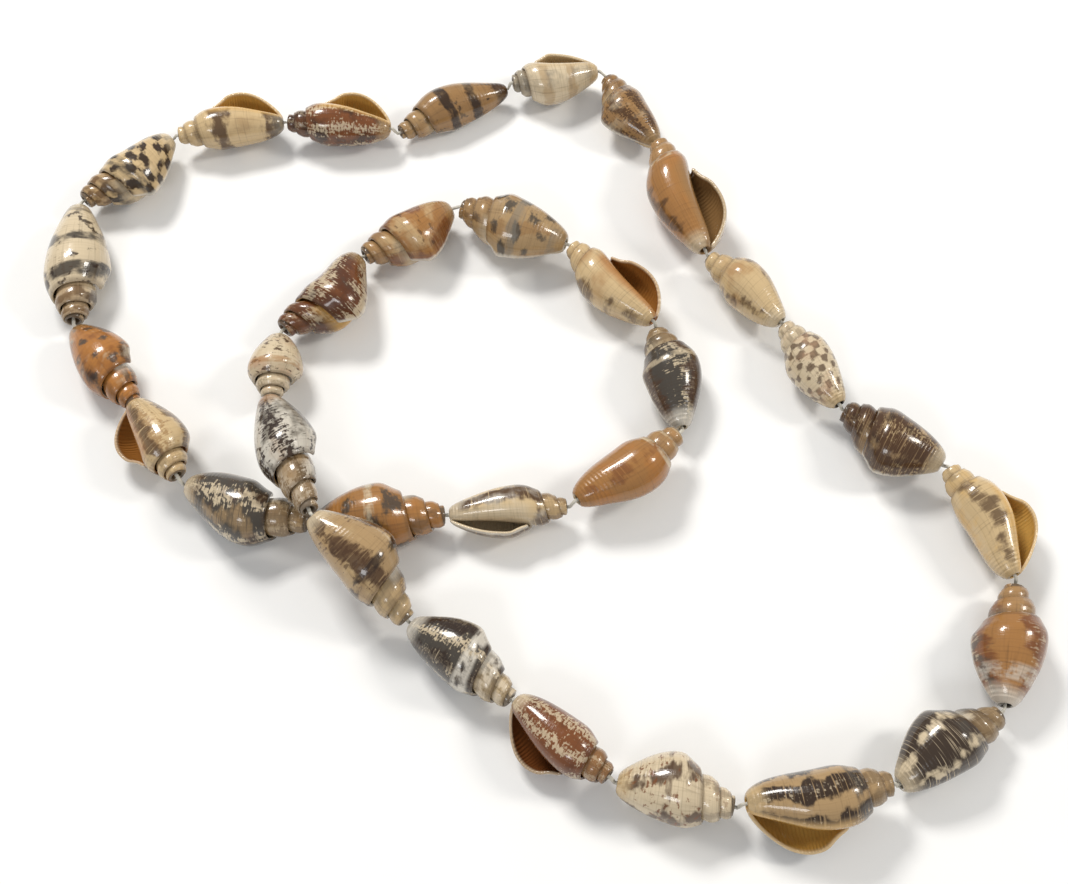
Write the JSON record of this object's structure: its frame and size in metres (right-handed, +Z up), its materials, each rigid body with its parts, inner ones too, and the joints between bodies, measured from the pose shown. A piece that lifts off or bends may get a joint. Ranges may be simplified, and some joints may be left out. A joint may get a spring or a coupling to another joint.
{
  "type": "shell necklace",
  "caption": "Closed string of small drilled sea shells threaded end to end, lying flat in a loop that crosses over itself.",
  "frame": {"origin": "centre of the box round the laid-out string, on the surface that it lies on", "axes": "+Z up from the surface, +X to the right and +Y away as the string is seen laid out"},
  "size_m": [0.2127, 0.1894, 0.02],
  "materials": {
    "cream_shell": "polished cream shell with brown flecks",
    "tan_shell": "polished tan shell with darker cross bands",
    "orange_shell": "polished orange-brown shell",
    "chestnut_shell": "polished chestnut shell with pale net lines",
    "grey_shell": "polished grey and white mottled shell",
    "dark_shell": "polished dark brown shell with pale checks",
    "thread": "thin off-white twisted thread"
  },
  "bodies": {
    "root": {"shell_01": "grey_shell", "shell_02": "tan_shell", "shell_03": "dark_shell", "shell_04": "chestnut_shell", "shell_05": "cream_shell", "shell_06": "tan_shell", "shell_07": "dark_shell", "shell_08": "chestnut_shell", "shell_09": "cream_shell", "shell_10": "dark_shell", "shell_11": "cream_shell", "shell_12": "cream_shell", "shell_13": "orange_shell", "shell_14": "tan_shell", "shell_15": "cream_shell", "shell_16": "tan_shell", "shell_17": "chestnut_shell", "shell_18": "cream_shell", "shell_19": "dark_shell", "shell_20": "grey_shell", "shell_21": "orange_shell", "shell_22": "cream_shell", "shell_23": "dark_shell", "shell_24": "orange_shell", "shell_25": "cream_shell", "shell_26": "orange_shell", "shell_27": "dark_shell", "shell_28": "cream_shell", "shell_29": "tan_shell", "shell_30": "orange_shell", "shell_31": "chestnut_shell", "shell_32": "cream_shell", "thread": "thread"}
  },
  "joints": []
}
